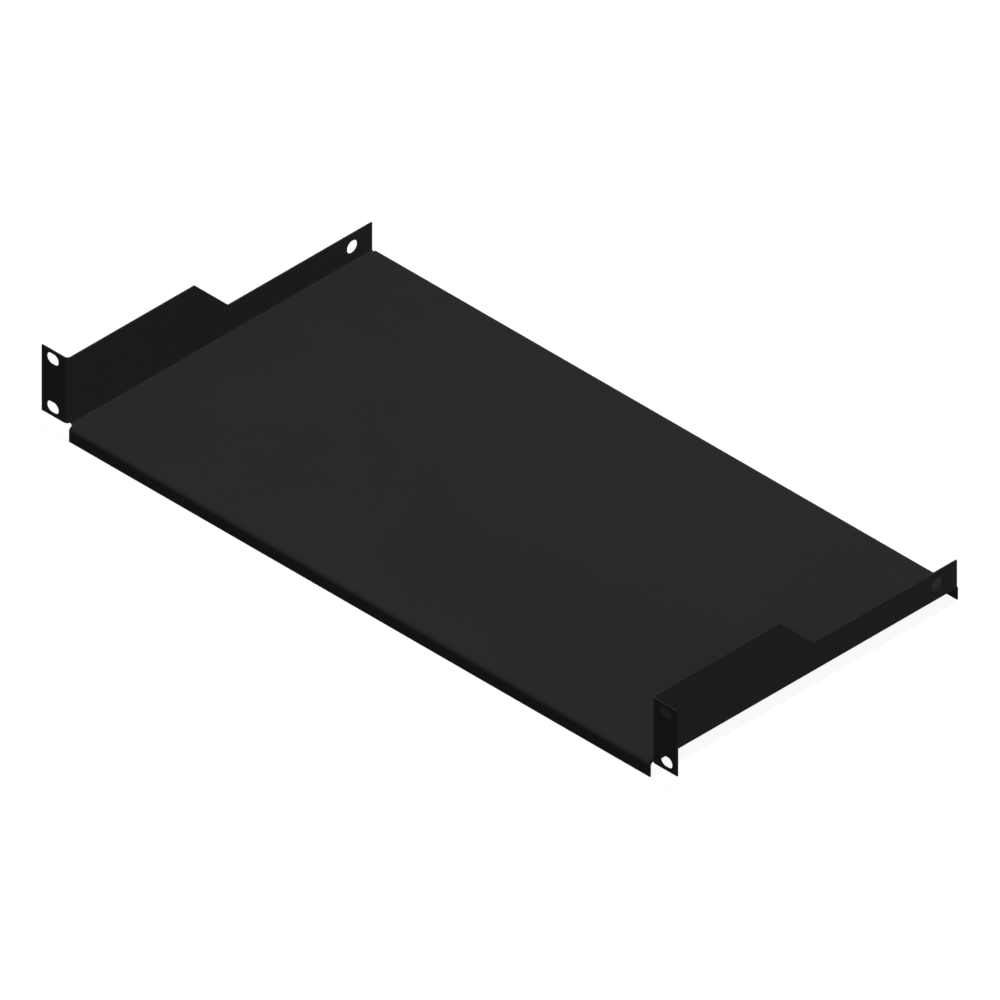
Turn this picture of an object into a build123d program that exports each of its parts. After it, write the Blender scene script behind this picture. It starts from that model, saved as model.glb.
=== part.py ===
from build123d import *
import os

# Cantilever rack shelf: a tray folded from one steel sheet, held by two slotted ears at its front.
# Frame, in millimetres: +X to the right seen from the front, +Y into the rack, +Z up.
# The origin is on the back faces of the ears, where they meet the rack, at the middle of the four slots.

# Sheet and its folds
sheet = 1.0                # thickness of the steel
side_fold_radius = 1.0     # inside the folds between floor and side walls
lip_fold_radius = 1.75     # inside the folds between floor and lips
ear_fold_radius = 2.0      # inside the folds between side walls and ears

# Ears, sized for a nineteen-inch rack
panel_width = 482.6        # over both ears
ear_reach = 18.8           # from the outside of a side wall to the tip of its ear
slot_length = 9.2
slot_width = 7.2
slot_pitch = 31.75         # between the two slots of an ear, as the holes of the rack
slot_inset = 8.3           # from the tip of an ear to the middle of its slots
slot_margin = 5.575        # from the middle of a slot to the ear's upper or lower edge

# Tray
depth = 234.2              # from the front of the ears to the back of the back lip
lip_height = 9.7           # from the top of the floor to the lips' lower edges
tall_wall_length = 97.05   # from the front of the ears to the start of the step
low_wall_height = 18.4     # from the top of the floor to the upper edge behind the step
rear_hole_diameter = 8.2
rear_hole_inset = 15.0     # from the back ends of the side walls
rear_hole_rise = 9.75      # above the top of the floor

# Heights
ear_top = slot_pitch / 2 + slot_margin
ear_bottom = -ear_top
floor_top = ear_bottom - side_fold_radius     # the ears stop where the side folds begin
floor_bottom = floor_top - sheet
lip_bottom = floor_top - lip_height
low_wall_top = floor_top + low_wall_height
rear_hole_z = floor_top + rear_hole_rise

# Places along the depth
front = -sheet
back = front + depth
tray_front = front + max(lip_fold_radius, ear_fold_radius) + sheet    # clear of the front folds
tray_back = back - lip_fold_radius - sheet                            # where the back fold begins
step_start = front + tall_wall_length
step_end = step_start + ear_top - low_wall_top                        # the step slopes at 45 degrees
rear_hole_y = tray_back - rear_hole_inset

# Places across the width
ear_tip = panel_width / 2
slot_spacing = panel_width - 2 * slot_inset   # between the slots of one ear and the other
wall_outside = ear_tip - ear_reach
wall_inside = wall_outside - sheet
lip_end = wall_inside - side_fold_radius      # the lips stop where the side folds begin


def folded_profile(corners, fold_radius, side):
    """The sheet seen edge-on. The corners follow the face on the outside of its folds."""
    outside = FilletPolyline(*corners, radius=fold_radius + sheet)
    return make_face(offset(outside, amount=sheet, side=side, closed=True))


def make_floor_and_lips():
    """The floor with its front and back lips, as wide as the flat between the side folds."""
    corners = [(front, lip_bottom), (front, floor_top), (back, floor_top), (back, lip_bottom)]
    profile = folded_profile(corners, lip_fold_radius, Side.RIGHT)
    return extrude(Plane.YZ * profile, amount=lip_end, both=True)


def make_floor_and_walls():
    """The floor with its side folds and walls, which run between the lips' folds."""
    corners = [
        (-wall_outside, ear_top),
        (-wall_outside, floor_bottom),
        (wall_outside, floor_bottom),
        (wall_outside, ear_top),
    ]
    profile = folded_profile(corners, side_fold_radius, Side.LEFT)
    channel = extrude(Plane.XZ.offset(-tray_front) * profile, amount=tray_front - tray_back)
    outline = Polygon(
        (tray_front, floor_bottom),
        (tray_front, ear_top),
        (step_start, ear_top),
        (step_end, low_wall_top),
        (tray_back, low_wall_top),
        (tray_back, floor_bottom),
        align=None,
    )
    return channel & extrude(Plane.YZ * outline, amount=wall_outside, both=True)


def make_right_ear():
    """The right ear, its fold and the tall stretch of wall that carries it."""
    corners = [(ear_tip, front), (wall_inside, front), (wall_inside, step_start)]
    profile = folded_profile(corners, ear_fold_radius, Side.RIGHT)
    return extrude(Plane.XY.offset(ear_bottom) * profile, amount=ear_top - ear_bottom)


def make_ear_slots():
    """Cutters for the four level slots of the ears."""
    places = GridLocations(slot_spacing, slot_pitch, 2, 2)
    slots = Sketch() + places * SlotOverall(slot_length, slot_width)
    return extrude(Plane.XZ * slots, amount=2 * sheet, both=True)


def make_rear_holes():
    """One cutter for the round holes near the back ends of both side walls."""
    circle = Pos(rear_hole_y, rear_hole_z) * Circle(rear_hole_diameter / 2)
    return extrude(Plane.YZ * circle, amount=ear_tip, both=True)


def make_shelf():
    """The whole folded sheet, as one solid."""
    right_ear = make_right_ear()
    left_ear = mirror(right_ear, about=Plane.YZ)
    blank = make_floor_and_lips() + make_floor_and_walls() + right_ear + left_ear
    return blank - make_ear_slots() - make_rear_holes()


parts = {"shelf": make_shelf()}

os.makedirs("parts", exist_ok=True)
for node, solid in parts.items():
    export_step(solid, f"parts/{node}.step")
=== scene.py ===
import math

import bmesh
import bpy
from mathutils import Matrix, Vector


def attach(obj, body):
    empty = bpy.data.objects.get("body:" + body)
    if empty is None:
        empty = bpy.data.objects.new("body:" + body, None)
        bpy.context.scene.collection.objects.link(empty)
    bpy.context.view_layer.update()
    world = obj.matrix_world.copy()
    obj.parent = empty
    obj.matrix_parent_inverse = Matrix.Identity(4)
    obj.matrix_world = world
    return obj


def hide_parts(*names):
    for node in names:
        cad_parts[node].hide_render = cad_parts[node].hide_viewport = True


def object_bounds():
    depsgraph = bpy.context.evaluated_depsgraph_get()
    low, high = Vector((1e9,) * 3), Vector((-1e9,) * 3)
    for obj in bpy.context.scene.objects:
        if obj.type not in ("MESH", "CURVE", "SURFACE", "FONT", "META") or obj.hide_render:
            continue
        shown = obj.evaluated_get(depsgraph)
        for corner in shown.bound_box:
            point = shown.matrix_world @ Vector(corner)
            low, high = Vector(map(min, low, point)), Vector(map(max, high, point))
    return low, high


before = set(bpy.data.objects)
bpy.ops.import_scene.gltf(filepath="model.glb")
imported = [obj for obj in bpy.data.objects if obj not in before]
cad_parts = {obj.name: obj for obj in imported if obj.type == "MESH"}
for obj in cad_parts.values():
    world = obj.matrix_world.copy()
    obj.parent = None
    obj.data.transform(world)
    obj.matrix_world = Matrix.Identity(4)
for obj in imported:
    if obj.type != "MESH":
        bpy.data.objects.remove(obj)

# A cantilever rack shelf: one folded steel sheet with a fine-textured black powder coat.
# Everything is in metres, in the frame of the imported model: +X right, +Y into the rack, +Z up.

CAD_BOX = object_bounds()

# Sheet edges
EDGE_RADIUS = 0.00012        # the coat rounds the cut edges of the sheet
EDGE_SEGMENTS = 2
ROUND_PROFILE = 0.5          # makes the rounding a true arc
WELD_DISTANCE = 0.000002
FLAT_ANGLE = math.radians(0.5)       # faces that turn by less are one flat face
CUT_EDGE_ANGLE = math.radians(40)    # the folds turn by less from face to face

# Powder coat
COAT_COLOUR = (0.0208, 0.0208, 0.0209)
COAT_ROUGHNESS = 0.45
ROUGHNESS_SPREAD = 0.05      # how far the grain shifts the roughness, either way
COAT_SPECULAR = 0.002        # the coat is matt, with hardly any gloss
COAT_IOR = 1.5
GRAIN_SIZE = 0.00045         # the fine sandy texture of the coat
GRAIN_DETAIL = 2.0
GRAIN_HEIGHT = 0.00005
GRAIN_SPECKLE_AND_SHADE = (0.90, 1.10)   # how much darker the hollows between the grains and lighter the raised grains are than the coat: partly the coat's own speckle, partly painted shade in the hollows
PEEL_SIZE = 0.003            # the slow waves under the grain
PEEL_DETAIL = 1.0
PEEL_HEIGHT = 0.00004
CLOUD_SIZE = 0.06            # patches where the coat is a little thicker
CLOUD_DETAIL = 2.0
CLOUD_TONES = (0.98, 1.02)
NOISE_RANGE = (0.3, 0.7)     # nearly all values of the noise lie between these

# Light
LAMPS = {                    # direction that it shines from, strength, apparent size
    "top": (Vector((0.05, 0.03, 1.0)), 2.35, math.radians(5)),
    "right": (Vector((1.0, 0.0, 0.25)), 0.78, math.radians(16)),
    "front": (Vector((1.0, -1.0, 1.0)), 1.07, math.radians(12)),
    "left": (Vector((-1.0, 0.0, 0.05)), 1.5, math.radians(16)),
    "back": (Vector((0.0, 1.0, 0.05)), 1.2, math.radians(16)),
}
AMBIENT = 0.05
WHITE = (1.0, 1.0, 1.0, 1.0)
SEEN_WHITE = 1.0             # strength of the white world where it is seen

# Stage
FLOOR_HALF_SIZE = 4.0
FLOOR_GAP = 0.0001           # keeps the floor clear of the lips' lower edges
FLOOR_GLOW = 0.91            # the part of the floor's white that no shadow takes away
FLOOR_SHADED_WHITE = 0.13    # the part that a shadow does
FLOOR_BOUNCE = 0.04          # how pale the floor is to the light that it throws back

# Camera: the photograph is an isometric view with no perspective
VIEW_DIRECTION = Vector((1.0, -1.0, 1.0)).normalized()
VIEW_CENTRE = Vector((0.01353, 0.09231, 0.0))
VIEW_WIDTH = 0.53685
CAMERA_DISTANCE = 2.0


def add_node(tree, kind, inputs=None, **settings):
    """A shader node with its settings and unlinked input values."""
    node = tree.nodes.new(kind)
    for name, value in settings.items():
        setattr(node, name, value)
    for name, value in (inputs or {}).items():
        node.inputs[name].default_value = value
    return node


def new_material(name):
    """An empty node material and its node tree."""
    material = bpy.data.materials.new(name)
    material.use_nodes = True
    material.node_tree.nodes.clear()
    return material, material.node_tree


def grey(value):
    """An opaque grey."""
    return (value, value, value, 1.0)


def scaled_noise(tree, place, feature_size, detail):
    """Noise whose features are about feature_size across, in metres."""
    noise = add_node(tree, "ShaderNodeTexNoise", {"Scale": 1.0 / feature_size, "Detail": detail})
    tree.links.new(place, noise.inputs["Vector"])
    return noise.outputs["Fac"]


def spread(tree, value, low, high):
    """Maps noise around its middle to the range from low to high."""
    noise_low, noise_high = NOISE_RANGE
    ramp = add_node(
        tree,
        "ShaderNodeMapRange",
        {"From Min": noise_low, "From Max": noise_high, "To Min": low, "To Max": high},
    )
    tree.links.new(value, ramp.inputs["Value"])
    return ramp.outputs["Result"]


def add_bump(tree, relief, height):
    """A bump node that raises the surface by up to height, in metres, where the relief is high."""
    bump = add_node(tree, "ShaderNodeBump", {"Distance": height})
    tree.links.new(relief, bump.inputs["Height"])
    return bump


def make_powder_coat():
    """Black powder coat: a fine sandy grain on a slight peel, with gloss that varies a little."""
    material, tree = new_material("powder_coat_black")
    place = add_node(tree, "ShaderNodeTexCoord").outputs["Object"]
    grain = scaled_noise(tree, place, GRAIN_SIZE, GRAIN_DETAIL)
    peel = scaled_noise(tree, place, PEEL_SIZE, PEEL_DETAIL)
    cloud = scaled_noise(tree, place, CLOUD_SIZE, CLOUD_DETAIL)

    coat = add_node(
        tree,
        "ShaderNodeBsdfPrincipled",
        {"Specular IOR Level": COAT_SPECULAR, "IOR": COAT_IOR},
    )
    # The base colour follows the grain's height: lighter on the raised grains, darker in the hollows
    # between them. This is partly the coat's own speckle and partly painted shade in the hollows.
    mottle_and_grain_shade = add_node(tree, "ShaderNodeMath", operation="MULTIPLY")
    tree.links.new(spread(tree, cloud, *CLOUD_TONES), mottle_and_grain_shade.inputs[0])
    tree.links.new(spread(tree, grain, *GRAIN_SPECKLE_AND_SHADE), mottle_and_grain_shade.inputs[1])
    shade = add_node(tree, "ShaderNodeVectorMath", {"Vector": COAT_COLOUR}, operation="SCALE")
    tree.links.new(mottle_and_grain_shade.outputs["Value"], shade.inputs["Scale"])
    tree.links.new(shade.outputs["Vector"], coat.inputs["Base Color"])
    smoothest = COAT_ROUGHNESS - ROUGHNESS_SPREAD
    roughest = COAT_ROUGHNESS + ROUGHNESS_SPREAD
    tree.links.new(spread(tree, grain, smoothest, roughest), coat.inputs["Roughness"])

    peel_bump = add_bump(tree, peel, PEEL_HEIGHT)
    grain_bump = add_bump(tree, grain, GRAIN_HEIGHT)
    tree.links.new(peel_bump.outputs["Normal"], grain_bump.inputs["Normal"])
    tree.links.new(grain_bump.outputs["Normal"], coat.inputs["Normal"])

    output = add_node(tree, "ShaderNodeOutputMaterial")
    tree.links.new(coat.outputs["BSDF"], output.inputs["Surface"])
    return material


def is_cut_edge(edge):
    """Whether two faces meet at the edge as sharply as at the rim of the cut sheet."""
    return len(edge.link_faces) == 2 and edge.calc_face_angle() > CUT_EDGE_ANGLE


def make_coated_sheet(material):
    """The folded sheet with its coat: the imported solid's own form, with its cut edges slightly round."""
    mesh = bpy.data.meshes.new("coated_sheet")
    work = bmesh.new()
    work.from_mesh(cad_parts["shelf"].data)
    bmesh.ops.remove_doubles(work, verts=work.verts, dist=WELD_DISTANCE)
    bmesh.ops.dissolve_limit(work, angle_limit=FLAT_ANGLE, verts=work.verts, edges=work.edges)
    bmesh.ops.bevel(
        work,
        geom=[edge for edge in work.edges if is_cut_edge(edge)],
        offset=EDGE_RADIUS,
        offset_type="OFFSET",
        segments=EDGE_SEGMENTS,
        profile=ROUND_PROFILE,
        affect="EDGES",
        clamp_overlap=True,
    )
    for face in work.faces:
        face.smooth = True
    work.to_mesh(mesh)
    work.free()
    # These normals are the solid's own, from before the rounding.
    mesh.attributes.remove(mesh.attributes["custom_normal"])
    mesh.materials.append(material)
    sheet = bpy.data.objects.new("coated_sheet", mesh)
    bpy.context.scene.collection.objects.link(sheet)
    weighted = sheet.modifiers.new("flat_faces", "WEIGHTED_NORMAL")
    weighted.keep_sharp = True
    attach(sheet, "root")
    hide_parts("shelf")


def seen_directly(tree):
    """1 for the rays that show the background: camera, glossy and transmission rays."""
    path = add_node(tree, "ShaderNodeLightPath")
    glossy = add_node(tree, "ShaderNodeMath", operation="MAXIMUM")
    tree.links.new(path.outputs["Is Camera Ray"], glossy.inputs[0])
    tree.links.new(path.outputs["Is Glossy Ray"], glossy.inputs[1])
    either = add_node(tree, "ShaderNodeMath", operation="MAXIMUM")
    tree.links.new(glossy.outputs["Value"], either.inputs[0])
    tree.links.new(path.outputs["Is Transmission Ray"], either.inputs[1])
    return either.outputs["Value"]


def make_white_floor():
    """A floor that is seen as white with a faint shadow, and throws hardly any light back."""
    material, tree = new_material("floor_white")
    glow = add_node(tree, "ShaderNodeEmission", {"Color": WHITE, "Strength": FLOOR_GLOW})
    shaded = add_node(tree, "ShaderNodeBsdfDiffuse", {"Color": grey(FLOOR_SHADED_WHITE)})
    bounce = add_node(tree, "ShaderNodeBsdfDiffuse", {"Color": grey(FLOOR_BOUNCE)})
    background = add_node(tree, "ShaderNodeAddShader")
    mix = add_node(tree, "ShaderNodeMixShader")
    output = add_node(tree, "ShaderNodeOutputMaterial")
    tree.links.new(glow.outputs["Emission"], background.inputs[0])
    tree.links.new(shaded.outputs["BSDF"], background.inputs[1])
    tree.links.new(seen_directly(tree), mix.inputs["Fac"])
    tree.links.new(bounce.outputs["BSDF"], mix.inputs[1])
    tree.links.new(background.outputs["Shader"], mix.inputs[2])
    tree.links.new(mix.outputs["Shader"], output.inputs["Surface"])
    return material


def make_floor(material):
    """A plain square floor just under the lips."""
    height = CAD_BOX[0].z - FLOOR_GAP
    sides = [(-1, -1), (1, -1), (1, 1), (-1, 1)]
    corners = [(x * FLOOR_HALF_SIZE, y * FLOOR_HALF_SIZE, height) for x, y in sides]
    mesh = bpy.data.meshes.new("floor")
    mesh.from_pydata(corners, [], [(0, 1, 2, 3)])
    mesh.materials.append(material)
    floor = bpy.data.objects.new("floor", mesh)
    bpy.context.scene.collection.objects.link(floor)


def make_world():
    """White where it is seen, and a soft even fill for everything else."""
    world = bpy.data.worlds.new("studio")
    bpy.context.scene.world = world
    world.use_nodes = True
    tree = world.node_tree
    tree.nodes.clear()
    fill = add_node(tree, "ShaderNodeBackground", {"Color": WHITE, "Strength": AMBIENT})
    white = add_node(tree, "ShaderNodeBackground", {"Color": WHITE, "Strength": SEEN_WHITE})
    mix = add_node(tree, "ShaderNodeMixShader")
    output = add_node(tree, "ShaderNodeOutputWorld")
    tree.links.new(seen_directly(tree), mix.inputs["Fac"])
    tree.links.new(fill.outputs["Background"], mix.inputs[1])
    tree.links.new(white.outputs["Background"], mix.inputs[2])
    tree.links.new(mix.outputs["Shader"], output.inputs["Surface"])


def make_lamps():
    """Distant lights: a strong one from above and weaker ones from all round."""
    for name, (direction, strength, apparent_size) in LAMPS.items():
        light = bpy.data.lights.new(name, "SUN")
        light.energy = strength
        light.angle = apparent_size
        lamp = bpy.data.objects.new(name, light)
        lamp.rotation_mode = "QUATERNION"
        lamp.rotation_quaternion = direction.to_track_quat("Z", "Y")
        lamp.location = direction
        bpy.context.scene.collection.objects.link(lamp)


def make_camera():
    """The isometric camera of the photograph."""
    lens = bpy.data.cameras.new("camera")
    lens.type = "ORTHO"
    lens.ortho_scale = VIEW_WIDTH
    camera = bpy.data.objects.new("camera", lens)
    camera.rotation_mode = "QUATERNION"
    camera.rotation_quaternion = VIEW_DIRECTION.to_track_quat("Z", "Y")
    camera.location = VIEW_CENTRE + VIEW_DIRECTION * CAMERA_DISTANCE
    bpy.context.scene.collection.objects.link(camera)
    bpy.context.scene.camera = camera


make_camera()
make_world()
make_lamps()
make_floor(make_white_floor())
make_coated_sheet(make_powder_coat())
bpy.context.scene.view_settings.view_transform = "Standard"
